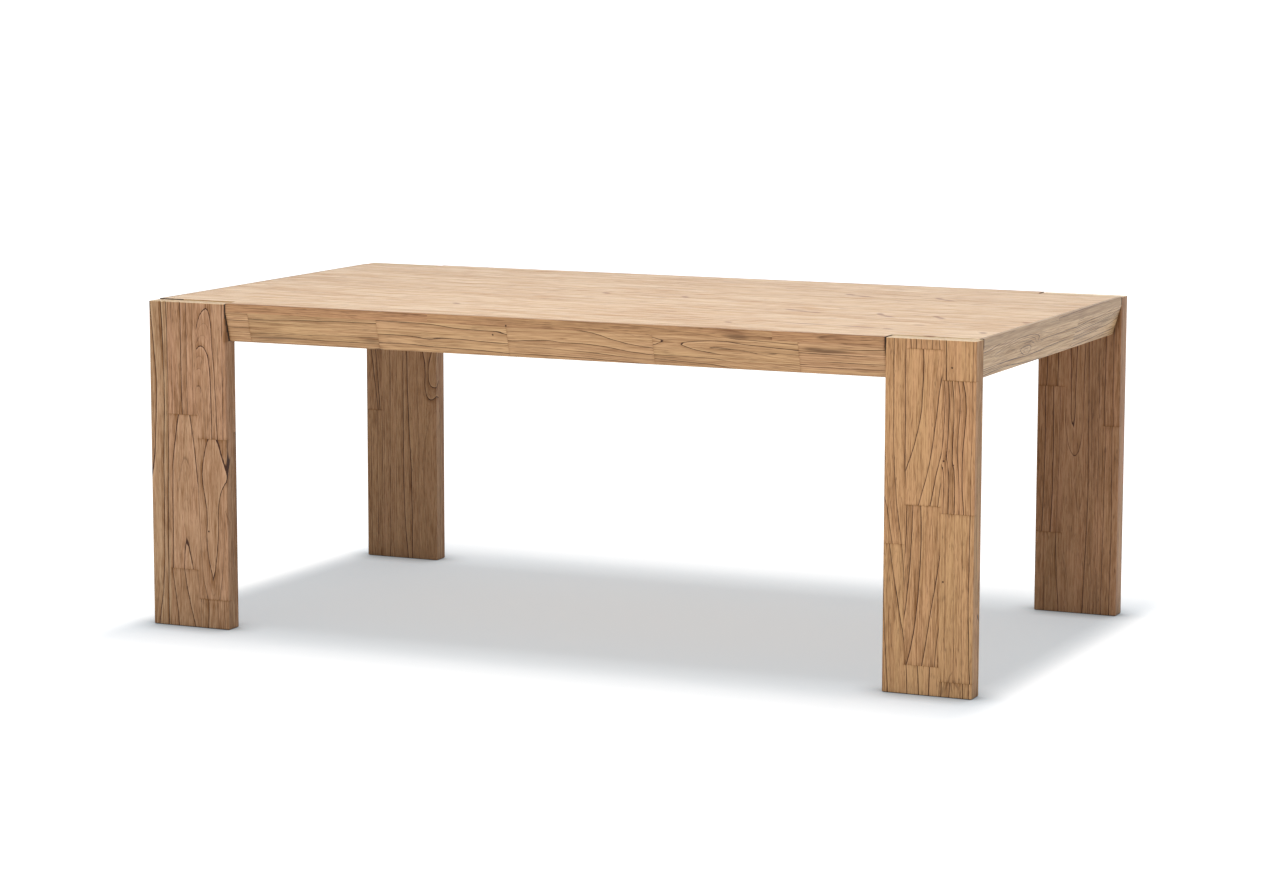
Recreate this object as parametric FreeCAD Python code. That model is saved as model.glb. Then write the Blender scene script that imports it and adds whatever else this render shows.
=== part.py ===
# Parsons dining table with four slab legs.
#
# A 20 mm veneered board, lipped with solid wood on its four sides, lies on a bevelled apron that
# makes its edge look 88 mm thick. The apron's outer face starts flush with the lipping and leans in
# towards its lower edge. Each leg is a laminated slab that stands in a notch in a corner of the top,
# with a shadow gap round it, and its end grain shows almost flush with the top. Behind the legs two
# long rails run from end apron to end apron, tenoned into both. The legs are bolted to the rails,
# which carry the long aprons, and three bearers tenoned between the rails keep the top flat. Blocks
# stiffen the four inner corners.
#
# Millimetres. +X runs along the table to the right, +Y from its front to its back, +Z up. The
# origin is on the floor, under the middle of the top.

import FreeCAD, Part
import math
import os

Vector = FreeCAD.Vector

# ---- Overall size
table_length = 2000.0
table_width = 1070.0
table_height = 755.0

# ---- Top
panel_thickness = 20.0       # board and lipping alike
lipping_depth = 10.0         # from the top's edge to the veneered board
lipping_arris = 1.0          # sanded off the lipping's upper outer edge

# ---- Stock that the legs and the aprons are sawn from
stock_thickness = 44.0       # legs across the table, aprons at their upper edge

# ---- Legs
leg_width = 200.0            # along the table
leg_reveal = 2.5             # shadow gap between a leg and the top or an apron beside it
leg_top_drop = 1.0           # the leg's end grain lies this far under the top's upper face
leg_arris = 1.0
foot_arris = 1.5             # larger, so that the foot does not split when the table is dragged

# ---- Aprons
apron_height = 68.0
apron_undercut = 20.0        # how far the outer face leans in at the lower edge
apron_arris = 1.0

# ---- Rails behind the legs
rail_rise = 4.0              # the rail's lower edge lies this far above the aprons'
rail_thickness = 30.0
rail_tenon_shoulder = 14.0   # above and under the tenon
rail_tenon_cheek = 4.0       # on the inner side only, so that the mortise keeps off the apron's end
rail_tenon_thickness = 10.0
rail_tenon_length = 18.0

# ---- Bearers under the top
bearer_count = 3             # evenly spaced between the legs
bearer_height = 50.0
bearer_thickness = 30.0
bearer_tenon_height = 28.0
bearer_tenon_thickness = 10.0
bearer_tenon_length = 15.0

# ---- Glued joints
cheek_clearance = 0.1        # between a tenon's cheek and its mortise
mortise_end_room = 1.0       # glue room past the tenon's end

# ---- Corner blocks
block_side = 45.0
block_nip = 4.0              # the right-angled corner is cut off, clear of squeezed-out glue

# ---- Leg bolts: M8 button heads, each with a flat and a spring washer, in a threaded insert
bolt_radius = 4.0
bolt_head_radius = 7.0
bolt_head_height = 4.4
bolt_socket_width = 5.0      # across the flats of the key's hexagon
bolt_socket_depth = 2.6
bolt_hole_clearance = 0.5
bolt_inset = 30.0            # inner column of bolts, from the leg's inner side
bolt_block_gap = 21.0        # outer column of bolts, from the corner block
bolt_edge_distance = 16.0    # from the rail's upper and lower edges
bolt_bite = 17.0             # length of bolt inside the insert
washer_radius = 10.0
washer_thickness = 1.6
spring_washer_radius = 7.0
spring_washer_thickness = 2.0
spring_washer_slit = 1.2
washer_bore_clearance = 0.3
insert_radius = 6.0
insert_length = 20.0
insert_bore_clearance = 0.05
insert_hole_clearance = 0.05
insert_hole_room = 2.0       # the blind hole is this much deeper than the insert

# ---- Wood screws with pan heads
screw_radius = 2.25
screw_head_radius = 4.5
screw_head_height = 2.6
screw_hole_clearance = 0.1
screw_head_clearance = 1.0   # counterbore round the head
screw_tip_room = 1.0
panel_screw_grip = 30.0      # wood between the head and the panel
panel_screw_bite = 14.0
panel_screw_end_inset = 12.0    # from an end apron's inner face
panel_screw_spacing = 300.0     # across the table, on bearers and end aprons
apron_screw_bite = 16.0
block_screw_grip = 16.0
block_screw_bite = 14.0
block_screw_inset = 14.0     # from the face that the block backs, across the screw
block_screw_rise = 14.0      # up or down from the rail's middle, so that the pair does not meet

# ---- Foot glides, nailed on
glide_radius = 14.0
glide_thickness = 3.0
glide_crown = 0.8            # bevel round the lower face
glide_inset = 35.0           # from the leg's narrow sides
glide_recess = 2.0           # depth to which the disc is let into the foot
glide_recess_clearance = 0.3    # round the disc
glide_nail_radius = 1.25
glide_nail_length = 16.0
glide_nail_clearance = 0.1

# ---- Places worked out from the sizes above
half_length = table_length / 2
half_width = table_width / 2
panel_under = table_height - panel_thickness
apron_under = panel_under - apron_height
rail_under = apron_under + rail_rise
rail_middle = (panel_under + rail_under) / 2
bearer_middle = panel_under - bearer_height / 2
leg_inner_x = half_length - leg_width
leg_back_y = half_width - stock_thickness
rail_inner_y = leg_back_y - rail_thickness
rail_centre_y = leg_back_y - rail_thickness / 2
end_apron_inner_x = half_length - stock_thickness
end_apron_half = leg_back_y - leg_reveal
long_apron_half = leg_inner_x - leg_reveal

# The bearers part the length between the legs into bays. Along a bay the rail has one screw up
# into the panel, at its middle, and two out into the long apron.
bay = 2 * leg_inner_x / (bearer_count + 1)
bay_starts = [-leg_inner_x + bay * number for number in range(bearer_count + 1)]
bearer_xs = bay_starts[1:]
rail_panel_screw_xs = [start + bay / 2 for start in bay_starts]
apron_screw_xs = [start + bay * share for start in bay_starts for share in (0.25, 0.75)]
cross_screw_ys = (-panel_screw_spacing, 0.0, panel_screw_spacing)

bolt_xs = (leg_inner_x + bolt_inset, end_apron_inner_x - block_side - bolt_block_gap)
bolt_zs = (rail_under + bolt_edge_distance, panel_under - bolt_edge_distance)
glide_xs = (leg_inner_x + glide_inset, half_length - glide_inset)
glide_y = half_width - stock_thickness / 2
leg_foot = glide_thickness - glide_recess


# ---- Shapes that several pieces share

def box(low, high):
    """A block between two opposite corners."""
    return Part.makeBox(high[0] - low[0], high[1] - low[1], high[2] - low[2], Vector(*low))


def turned(outline, foot, direction):
    """A solid turned from an outline of (radius, distance along direction), starting at foot."""
    points = [Vector(radius, 0, along) for radius, along in outline]
    face = Part.Face(Part.makePolygon(points + points[:1]))
    solid = face.revolve(Vector(0, 0, 0), Vector(0, 0, 1), 360)
    solid.Placement = FreeCAD.Placement(
        Vector(*foot), FreeCAD.Rotation(Vector(0, 0, 1), Vector(*direction)))
    return solid


def prism(corners, sweep):
    """A straight bar whose end has these corners."""
    points = [Vector(*corner) for corner in corners]
    return Part.Face(Part.makePolygon(points + points[:1])).extrude(Vector(*sweep))


def hole(radius, start, direction, depth):
    return Part.makeCylinder(radius, depth, Vector(*start), Vector(*direction))


def mirrored(shape, across_x=False, across_y=False):
    """The same piece at another corner or side of the table."""
    if across_x:
        shape = shape.mirror(Vector(0, 0, 0), Vector(1, 0, 0))
    if across_y:
        shape = shape.mirror(Vector(0, 0, 0), Vector(0, 1, 0))
    return shape


def at_four_corners(shapes):
    """Copies of the back right corner's pieces at all four corners."""
    sides = [(x, y) for x in (False, True) for y in (False, True)]
    return [mirrored(shape, *side) for side in sides for shape in shapes]


def eased(low, high, lower_arris, upper_arris):
    """Corners of a rectangle whose two lower and two upper corners are cut off."""
    left, bottom = low
    right, top = high
    return [
        (left + lower_arris, bottom),
        (right - lower_arris, bottom),
        (right, bottom + lower_arris),
        (right, top - upper_arris),
        (right - upper_arris, top),
        (left + upper_arris, top),
        (left, top - upper_arris),
        (left, bottom + lower_arris),
    ]


# ---- Wood screws

def screw(seat, direction, grip, bite):
    """A screw whose head rests on seat and whose shank runs along direction."""
    outline = [
        (0, -screw_head_height),
        (screw_head_radius * 0.7, -screw_head_height),
        (screw_head_radius, -screw_head_height * 0.5),
        (screw_head_radius, 0),
        (screw_radius, 0),
        (screw_radius, grip + bite - 2 * screw_radius),
        (0, grip + bite),
    ]
    return turned(outline, seat, direction)


def screw_hole(seat, direction, grip, bite, head_room):
    """The counterbore, clearance hole and pilot hole of one screw."""
    back = tuple(-part for part in direction)
    shank = hole(screw_radius + screw_hole_clearance, seat, direction, grip + bite + screw_tip_room)
    head = hole(screw_head_radius + screw_head_clearance, seat, back, head_room)
    return shank.fuse(head)


UP = (0, 0, 1)
panel_screw_seat = panel_under - panel_screw_grip
panel_screw_room = table_height    # a counterbore from below is open all the way down

rail_panel_seats = [(x, rail_centre_y, panel_screw_seat) for x in rail_panel_screw_xs]
end_panel_seats = [
    (end_apron_inner_x + panel_screw_end_inset, y, panel_screw_seat) for y in cross_screw_ys]
bearer_panel_seats = [(x, y, panel_screw_seat) for x in bearer_xs for y in cross_screw_ys]
apron_screw_seats = [(x, rail_inner_y, rail_middle) for x in apron_screw_xs]

# Each corner block has one screw into the rail, and one lower down into the end apron.
block_rail_seat = (
    end_apron_inner_x - block_screw_inset,
    rail_inner_y - block_screw_grip,
    rail_middle + block_screw_rise)
block_end_seat = (
    end_apron_inner_x - block_screw_grip,
    rail_inner_y - block_screw_inset,
    rail_middle - block_screw_rise)
block_screw_places = [(block_rail_seat, (0, 1, 0)), (block_end_seat, (1, 0, 0))]


def panel_holes(seats):
    return [
        screw_hole(seat, UP, panel_screw_grip, panel_screw_bite, panel_screw_room)
        for seat in seats]


def block_holes():
    return [
        screw_hole(seat, direction, block_screw_grip, block_screw_bite, block_side)
        for seat, direction in block_screw_places]


def panel_screws():
    both_sides = [mirrored(screw(seat, UP, panel_screw_grip, panel_screw_bite), across_y=side)
                  for seat in rail_panel_seats for side in (False, True)]
    both_ends = [mirrored(screw(seat, UP, panel_screw_grip, panel_screw_bite), across_x=end)
                 for seat in end_panel_seats for end in (False, True)]
    under = [screw(seat, UP, panel_screw_grip, panel_screw_bite) for seat in bearer_panel_seats]
    return both_sides + both_ends + under


def apron_screws():
    return [mirrored(screw(seat, (0, 1, 0), rail_thickness, apron_screw_bite), across_y=side)
            for seat in apron_screw_seats for side in (False, True)]


def corner_block_screws():
    return at_four_corners([
        screw(seat, direction, block_screw_grip, block_screw_bite)
        for seat, direction in block_screw_places])


# ---- Top

def tabletop_panel():
    """A veneered board with a notch for a leg at each corner, inside its lipping."""
    board_length = half_length - lipping_depth
    board_width = half_width - lipping_depth
    panel = box((-board_length, -board_width, panel_under), (board_length, board_width, table_height))
    notch = box(
        (long_apron_half, end_apron_half, panel_under - 1),
        (half_length, half_width, table_height + 1))
    holes = panel_holes(bearer_panel_seats)
    for seat_hole in panel_holes(rail_panel_seats):
        holes += [seat_hole, mirrored(seat_hole, across_y=True)]
    for seat_hole in panel_holes(end_panel_seats):
        holes += [seat_hole, mirrored(seat_hole, across_x=True)]
    return panel.cut(at_four_corners([notch]) + holes)


def lipping_profile(outer, place):
    """The end of a strip of lipping. outer is its outermost distance from the table's middle."""
    inner = outer - lipping_depth
    return [
        place(inner, panel_under),
        place(outer, panel_under),
        place(outer, table_height - lipping_arris),
        place(outer - lipping_arris, table_height),
        place(inner, table_height),
    ]


def long_lipping():
    """Solid strip glued along the board's back edge, between the notches."""
    profile = lipping_profile(half_width, lambda y, z: (-long_apron_half, y, z))
    return prism(profile, (2 * long_apron_half, 0, 0))


def end_lipping():
    """Solid strip glued along the board's right end, between the notches."""
    profile = lipping_profile(half_length, lambda x, z: (x, -end_apron_half, z))
    return prism(profile, (0, 2 * end_apron_half, 0))


# ---- Aprons: the outer face leans in from the top's edge to the lower edge

def apron_profile(outer, place):
    """The end of an apron. outer is its outermost distance from the table's middle."""
    inner = outer - stock_thickness
    lower = outer - apron_undercut
    return [
        place(inner, panel_under),
        place(outer, panel_under),
        place(lower, apron_under + apron_arris),
        place(lower - apron_arris, apron_under),
        place(inner, apron_under),
    ]


def long_apron():
    """Back apron, between the two back legs, screwed to the rail from inside."""
    profile = apron_profile(half_width, lambda y, z: (-long_apron_half, y, z))
    board = prism(profile, (2 * long_apron_half, 0, 0))
    return board.cut([
        screw_hole(seat, (0, 1, 0), rail_thickness, apron_screw_bite, 1) for seat in apron_screw_seats])


def end_apron():
    """Right end apron, with a mortise for each rail's tenon."""
    profile = apron_profile(half_length, lambda x, z: (x, -end_apron_half, z))
    board = prism(profile, (0, 2 * end_apron_half, 0))
    mortise = box(
        (end_apron_inner_x - 1,
         rail_inner_y + rail_tenon_cheek - cheek_clearance,
         rail_under + rail_tenon_shoulder - cheek_clearance),
        (end_apron_inner_x + rail_tenon_length + mortise_end_room,
         rail_inner_y + rail_tenon_cheek + rail_tenon_thickness + cheek_clearance,
         panel_under - rail_tenon_shoulder + cheek_clearance))
    block_hole = block_holes()[1]
    mirror_pair = [mortise, mirrored(mortise, across_y=True)]
    mirror_pair += [block_hole, mirrored(block_hole, across_y=True)]
    return board.cut(mirror_pair + panel_holes(end_panel_seats))


# ---- Rails and bearers

def bolt_places():
    return [(x, z) for x in bolt_xs for z in bolt_zs]


def leg_rail():
    """Back rail. It backs the legs and the long apron, and is tenoned into both end aprons."""
    rail = box((-end_apron_inner_x, rail_inner_y, rail_under), (end_apron_inner_x, leg_back_y, panel_under))
    tenons = box(
        (-end_apron_inner_x - rail_tenon_length,
         rail_inner_y + rail_tenon_cheek,
         rail_under + rail_tenon_shoulder),
        (end_apron_inner_x + rail_tenon_length,
         rail_inner_y + rail_tenon_cheek + rail_tenon_thickness,
         panel_under - rail_tenon_shoulder))
    mortises = [
        box(
            (x - bearer_tenon_thickness / 2 - cheek_clearance,
             rail_inner_y - 1,
             bearer_middle - bearer_tenon_height / 2 - cheek_clearance),
            (x + bearer_tenon_thickness / 2 + cheek_clearance,
             rail_inner_y + bearer_tenon_length + mortise_end_room,
             bearer_middle + bearer_tenon_height / 2 + cheek_clearance))
        for x in bearer_xs]
    holes = panel_holes(rail_panel_seats)
    holes += [
        screw_hole(seat, (0, 1, 0), rail_thickness, apron_screw_bite, 1) for seat in apron_screw_seats]
    for x, z in bolt_places():
        bolt_hole = hole(
            bolt_radius + bolt_hole_clearance, (x, rail_inner_y - 1, z), (0, 1, 0), rail_thickness + 2)
        holes += [bolt_hole, mirrored(bolt_hole, across_x=True)]
    block_hole = block_holes()[0]
    holes += [block_hole, mirrored(block_hole, across_x=True)]
    return rail.fuse(tenons).removeSplitter().cut(mortises + holes)


def bearer(x):
    """One cross bearer, with a tenon in each rail."""
    board = box(
        (x - bearer_thickness / 2, -rail_inner_y, panel_under - bearer_height),
        (x + bearer_thickness / 2, rail_inner_y, panel_under))
    tenons = box(
        (x - bearer_tenon_thickness / 2,
         -rail_inner_y - bearer_tenon_length,
         bearer_middle - bearer_tenon_height / 2),
        (x + bearer_tenon_thickness / 2,
         rail_inner_y + bearer_tenon_length,
         bearer_middle + bearer_tenon_height / 2))
    seats = [seat for seat in bearer_panel_seats if seat[0] == x]
    return board.fuse(tenons).removeSplitter().cut(panel_holes(seats))


# ---- Corner blocks

def corner_block():
    """Three-cornered block in the back right corner, between the rail and the end apron."""
    plan = [
        (end_apron_inner_x - block_side, rail_inner_y),
        (end_apron_inner_x - block_nip, rail_inner_y),
        (end_apron_inner_x, rail_inner_y - block_nip),
        (end_apron_inner_x, rail_inner_y - block_side),
    ]
    block = prism([(x, y, rail_under) for x, y in plan], (0, 0, panel_under - rail_under))
    return block.cut(block_holes())


# ---- Legs

def leg():
    """Back right leg: a laminated slab, full height, with threaded inserts in its inner face.

    The slab is where three straight bars meet. Each bar has the slab's outline from one side.
    """
    top = table_height - leg_top_drop
    plan = eased((leg_inner_x, leg_back_y), (half_length, half_width), leg_arris, leg_arris)
    wide = eased((leg_inner_x, leg_foot), (half_length, top), foot_arris, leg_arris)
    narrow = eased((leg_back_y, leg_foot), (half_width, top), foot_arris, leg_arris)
    slab = prism([(x, y, leg_foot) for x, y in plan], (0, 0, top - leg_foot))
    slab = slab.common(prism([(x, leg_back_y, z) for x, z in wide], (0, stock_thickness, 0)))
    slab = slab.common(prism([(leg_inner_x, y, z) for y, z in narrow], (leg_width, 0, 0)))
    holes = [
        hole(insert_radius + insert_hole_clearance, (x, leg_back_y, z), (0, 1, 0),
             insert_length + insert_hole_room)
        for x, z in bolt_places()]
    for x in glide_xs:
        recess = hole(glide_radius + glide_recess_clearance, (x, glide_y, leg_foot), UP, glide_recess)
        nail_hole = hole(
            glide_nail_radius + glide_nail_clearance, (x, glide_y, leg_foot), UP,
            glide_recess + glide_nail_length + glide_nail_clearance)
        holes.append(recess.fuse(nail_hole))
    return slab.cut(holes)


# ---- Leg bolts and what goes with them

bolt_seat_y = rail_inner_y - washer_thickness - spring_washer_thickness


def leg_bolt(x, z):
    """Button head with a key socket. The domed head is turned, and the socket is cut into it."""
    dome = 0.35 * bolt_head_height
    reach = washer_thickness + spring_washer_thickness + rail_thickness + bolt_bite
    body = turned([
        (0, -bolt_head_height),
        (bolt_head_radius * 0.6, -bolt_head_height),
        (bolt_head_radius, -dome),
        (bolt_head_radius, 0),
        (bolt_radius, 0),
        (bolt_radius, reach - 1),
        (bolt_radius - 1, reach),
        (0, reach),
    ], (x, bolt_seat_y, z), (0, 1, 0))
    corner_radius = bolt_socket_width / math.sqrt(3)
    hexagon = [
        (x + corner_radius * math.cos(math.radians(60 * step)),
         bolt_seat_y - bolt_head_height - 1,
         z + corner_radius * math.sin(math.radians(60 * step)))
        for step in range(6)]
    return body.cut(prism(hexagon, (0, bolt_socket_depth + 1, 0)))


def flat_washer(x, z):
    start = (x, rail_inner_y - washer_thickness, z)
    disc = hole(washer_radius, start, (0, 1, 0), washer_thickness)
    return disc.cut(hole(bolt_radius + washer_bore_clearance, start, (0, 1, 0), washer_thickness))


def spring_washer(x, z):
    """A split ring between the flat washer and the bolt's head."""
    start = (x, bolt_seat_y, z)
    ring = hole(spring_washer_radius, start, (0, 1, 0), spring_washer_thickness)
    slit = box(
        (x - spring_washer_slit / 2, bolt_seat_y - 1, z),
        (x + spring_washer_slit / 2, bolt_seat_y + spring_washer_thickness + 1, z + spring_washer_radius + 1))
    bore = hole(bolt_radius + washer_bore_clearance, start, (0, 1, 0), spring_washer_thickness)
    return ring.cut([bore, slit])


def threaded_insert(x, z):
    """Brass sleeve, let in flush with the leg's inner face."""
    start = (x, leg_back_y, z)
    sleeve = hole(insert_radius, start, (0, 1, 0), insert_length)
    return sleeve.cut(hole(bolt_radius + insert_bore_clearance, start, (0, 1, 0), insert_length))


# ---- Foot glides

def foot_glide(x):
    """Nylon disc with its nail, let into a leg's foot."""
    return turned([
        (0, 0),
        (glide_radius - glide_crown, 0),
        (glide_radius, glide_crown),
        (glide_radius, glide_thickness),
        (glide_nail_radius, glide_thickness),
        (glide_nail_radius, glide_thickness + glide_nail_length),
        (0, glide_thickness + glide_nail_length),
    ], (x, glide_y, 0), UP)


# ---- Every piece, under the name of its node

def pieces():
    made = {
        "tabletop_panel": [tabletop_panel()],
        "back_lipping": [long_lipping()],
        "right_end_lipping": [end_lipping()],
        "back_apron": [long_apron()],
        "right_end_apron": [end_apron()],
        "back_leg_rail": [leg_rail()],
        "leg_back_right": [leg()],
        "corner_block_back_right": [corner_block()],
        "panel_screws": panel_screws(),
        "apron_screws": apron_screws(),
        "corner_block_screws": corner_block_screws(),
        "leg_bolts": at_four_corners([leg_bolt(x, z) for x, z in bolt_places()]),
        "leg_bolt_washers": at_four_corners([flat_washer(x, z) for x, z in bolt_places()]),
        "leg_bolt_spring_washers": at_four_corners([spring_washer(x, z) for x, z in bolt_places()]),
        "leg_threaded_inserts": at_four_corners([threaded_insert(x, z) for x, z in bolt_places()]),
        "foot_glides": at_four_corners([foot_glide(x) for x in glide_xs]),
    }
    for name, x in zip(("left_bearer", "centre_bearer", "right_bearer"), bearer_xs):
        made[name] = [bearer(x)]
    for kind in ("lipping", "apron", "leg_rail"):
        made["front_" + kind] = [mirrored(made["back_" + kind][0], across_y=True)]
    for kind in ("end_lipping", "end_apron"):
        made["left_" + kind] = [mirrored(made["right_" + kind][0], across_x=True)]
    for kind in ("leg", "corner_block"):
        back_right = made[kind + "_back_right"][0]
        made[kind + "_back_left"] = [mirrored(back_right, across_x=True)]
        made[kind + "_front_right"] = [mirrored(back_right, across_y=True)]
        made[kind + "_front_left"] = [mirrored(back_right, across_x=True, across_y=True)]
    return made


def write_parts(made):
    os.makedirs("parts", exist_ok=True)
    for name, shapes in sorted(made.items()):
        solids = [solid for shape in shapes for solid in shape.Solids]
        shape = solids[0] if len(solids) == 1 else Part.makeCompound(solids)
        shape.exportStep(os.path.join("parts", name + ".step"))
        print(name, len(solids), "solids", round(shape.Volume / 1000.0, 2), "cm3", shape.isValid())


write_parts(pieces())
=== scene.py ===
"""Parsons dining table of stave-glued hardwood, brushed and matt-lacquered.

A veneered and lipped top lies on aprons that lean in towards their lower edges. Four laminated slab
legs stand in notches in its corners, bolted from inside to two long rails.
"""
import math
import random
from functools import partial

import bpy
import numpy as np
from mathutils import Matrix, Vector


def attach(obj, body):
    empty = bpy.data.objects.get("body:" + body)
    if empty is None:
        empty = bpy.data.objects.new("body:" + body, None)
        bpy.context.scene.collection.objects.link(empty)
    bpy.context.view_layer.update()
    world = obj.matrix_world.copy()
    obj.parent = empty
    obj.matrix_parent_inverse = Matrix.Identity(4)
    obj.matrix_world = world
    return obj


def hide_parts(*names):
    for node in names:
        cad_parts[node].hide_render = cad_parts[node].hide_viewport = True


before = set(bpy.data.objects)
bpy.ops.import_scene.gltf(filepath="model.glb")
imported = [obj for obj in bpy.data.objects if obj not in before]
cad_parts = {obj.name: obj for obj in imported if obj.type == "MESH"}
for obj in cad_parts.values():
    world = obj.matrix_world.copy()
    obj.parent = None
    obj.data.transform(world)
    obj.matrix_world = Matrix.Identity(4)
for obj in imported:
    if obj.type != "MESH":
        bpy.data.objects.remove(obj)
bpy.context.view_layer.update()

# ---- End aprons ---------------------------------------------------------------------------------
# Two boards of short staves glued end to end, 44 mm thick at the upper edge. The outer face leans
# in by 20 mm down to the lower edge, and each rail's tenon sits in a mortise in the inner face.

half_length = 1000
half_width = 535
panel_under = 735
apron_under = 667
stock_thickness = 44
apron_undercut = 20
apron_arris = 1
leg_reveal = 2.5  # the shadow gap beside a leg
apron_face_height = math.hypot(panel_under - apron_under, apron_undercut)
end_apron_half = half_width - stock_thickness - leg_reveal
saw_pitch = 8  # between cuts along a piece
fine_pitch = 4  # between cuts across it
# The width of the band of painted shade beside a shadow gap, in millimetres
gap_shade_width = 1.5
glue_line = 1.3  # half the width of the shade along a joint
end_on = 0.9  # a face whose normal has more than this along an axis looks that way
laminations = 3  # behind each other in a leg or an apron


def linear(code):
    """An sRGB hex colour as linear RGBA."""
    parts = [int(code[i:i + 2], 16) / 255 for i in (1, 3, 5)]
    return [c / 12.92 if c <= 0.04045 else ((c + 0.055) / 1.055) ** 2.4 for c in parts] + [1]


def add_node(tree, kind, links=(), **settings):
    """Adds a shader node. links gives its inputs a value, a socket or a node's first output."""
    node = tree.nodes.new("ShaderNode" + kind)
    for name, value in settings.items():
        setattr(node, name, value)
    for socket, source in dict(links).items():
        if isinstance(source, bpy.types.Node):
            source = source.outputs[0]
        if isinstance(source, bpy.types.NodeSocket):
            tree.links.new(source, node.inputs[socket])
        else:
            node.inputs[socket].default_value = source
    return node


def empty_material(name):
    material = bpy.data.materials.new(name)
    material.use_nodes = True
    material.node_tree.nodes.clear()
    return material, partial(add_node, material.node_tree)


def timber(name, pale, olive, late, pore, line=1.0, streak=1.0, breadth=1.0, reach=1.0, cloudy=0.4,
           banded=0.5, gloss=0.42, shine=0.2, marks=(), run=None):
    """Wood whose growth rings follow the attributes that rule_grain writes on a piece.

    Early wood wanders between a pinkish pale hue and an olive one, late is the dark edge of a ring
    and pore the open grain. breadth widens the figure and reach lengthens it. marks are knots and
    dark flecks, as (place, half sizes, depth, and any turn in degrees about X, Y and Z). With run,
    a turn that brings the piece's length to Z, the rings are those of a plain board.
    """
    material, add = empty_material(name)
    spot = add("TexCoord").outputs["Object"]
    if run is None:
        grain = add("Attribute", attribute_name="grain").outputs["Vector"]
        rings = add("SeparateXYZ", {0: add("Attribute", attribute_name="rings").outputs["Vector"]})
        shade = add("SeparateXYZ", {0: add("Attribute", attribute_name="shade").outputs["Vector"]})
        count, spacing, strength = rings.outputs
        tone, warmth, end_grain = shade.outputs
    else:
        spacing, strength, tone, warmth, end_grain = 6.0, 0.45, 0.0, 0.0, 0.0
        grain = add("Mapping", {"Vector": spot, "Rotation": run, "Scale": (1000, 1000, 1000)})
        section = add("VectorMath", {0: grain, 1: (1, 1, 0)}, operation="MULTIPLY")
        from_pith = add("VectorMath", {0: section, 1: (330, 260, 0)}, operation="DISTANCE")
        count = add("Math", {0: from_pith.outputs["Value"], 1: spacing}, operation="DIVIDE")

    # Noise stretched along the grain: its name, width and length in millimetres, and detail. The
    # fibres are drawn twice as coarse as real ones, so that they show from across a room.
    noise = {}
    for number, (kind, width, length, detail) in enumerate((
            ("bend", 26, 150, 1), ("waver", 6, 36, 1), ("fibre", 1.9, 70, 2), ("band", 7, 140, 2),
            ("cloud", 26, 150, 2), ("mottle", 2.3, 30, 2), ("pore", 1.6, 22, 1),
            ("fade", 30, 70, 1), ("hue", 14, 210, 1))):
        width, length = width * breadth, length * reach
        place = add("Mapping", {"Vector": grain, "Location": (7 * number, 3 * number, 5 * number),
                                "Scale": (1 / width, 1 / width, 1 / length)})
        noise[kind] = add("TexNoise", {
            "Vector": place, "Scale": 1.0, "Detail": detail, "Roughness": 0.55}).outputs[0]

    # Rings wander by a millimetre or two along the stave, and fade in and out.
    slow, quick = (
        add("Math", {0: noise[kind], 1: most, 2: -most / 2}, operation="MULTIPLY_ADD")
        for kind, most in (("bend", 3.0 * breadth), ("waver", breadth)))
    wander = add("Math", {0: add("Math", {0: slow, 1: quick}), 1: spacing}, operation="DIVIDE")
    place = add("Math", {0: count, 1: wander})
    fade = add("MapRange", {0: noise["fade"], 1: 0.35, 2: 0.6, 3: 0.75, 4: 1.15})
    strong = add("Math", {0: strength, 1: fade}, operation="MULTIPLY")
    faint = add("MapRange", {0: noise["cloud"], 1: 0.42, 2: 0.7, 3: 0.0, 4: 1.0})

    # Late wood darkens slowly towards a ring's edge, ends there in a dark line, and starts again
    # paler than the rest. Each ring has two fainter lines inside it.
    line_depth, dark = 0.0, 0.25
    for parts, weight, deep, line_width, shadow, pale_start in (
            (1, strong, 2.0, 1.8, 0.3, -0.24), (3, faint, 0.45, 1.5, 0.14, -0.06)):
        position = add("Math", {0: place, 1: parts}, operation="MULTIPLY")
        width = add("Math", {0: spacing, 1: parts}, operation="DIVIDE")
        share = add("Math", {0: position}, operation="FRACT")
        after = add("Math", {0: share, 1: width}, operation="MULTIPLY")
        before = add("Math", {0: width, 1: after}, operation="SUBTRACT")
        rise = add("MapRange", {0: before, 1: 0, 2: line_width * breadth, 3: deep, 4: 0})
        fall = add("MapRange", {0: after, 1: 0, 2: 0.8 * breadth, 3: deep, 4: 0})
        core = add("Math", {0: rise, 1: fall}, operation="MAXIMUM")
        line_depth = add("Math", {0: core, 1: weight, 2: line_depth}, operation="MULTIPLY_ADD")
        late_side = add("MapRange", {0: before, 1: 0, 2: 12 * breadth, 3: shadow, 4: 0})
        early_side = add("MapRange", {
            0: after, 1: 0.5 * breadth, 2: 6 * breadth, 3: pale_start, 4: 0})
        change = add("Math", {0: late_side, 1: early_side})
        dark = add("Math", {0: change, 1: weight, 2: dark}, operation="MULTIPLY_ADD")

    # Everything that browns the ground: 0 is pale early wood and 1 is late wood.
    for kind, amount in (("fibre", 1.5), ("band", banded), ("cloud", cloudy), ("mottle", 1.3)):
        part = add("Math", {0: noise[kind], 1: 0.5}, operation="SUBTRACT")
        dark = add("Math", {0: part, 1: amount * streak, 2: dark}, operation="MULTIPLY_ADD")
    dark = add("Math", {0: end_grain, 1: 0.12, 2: dark}, operation="MULTIPLY_ADD")
    dark = add("Math", {0: dark, 1: tone}, operation="SUBTRACT", use_clamp=True)

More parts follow.
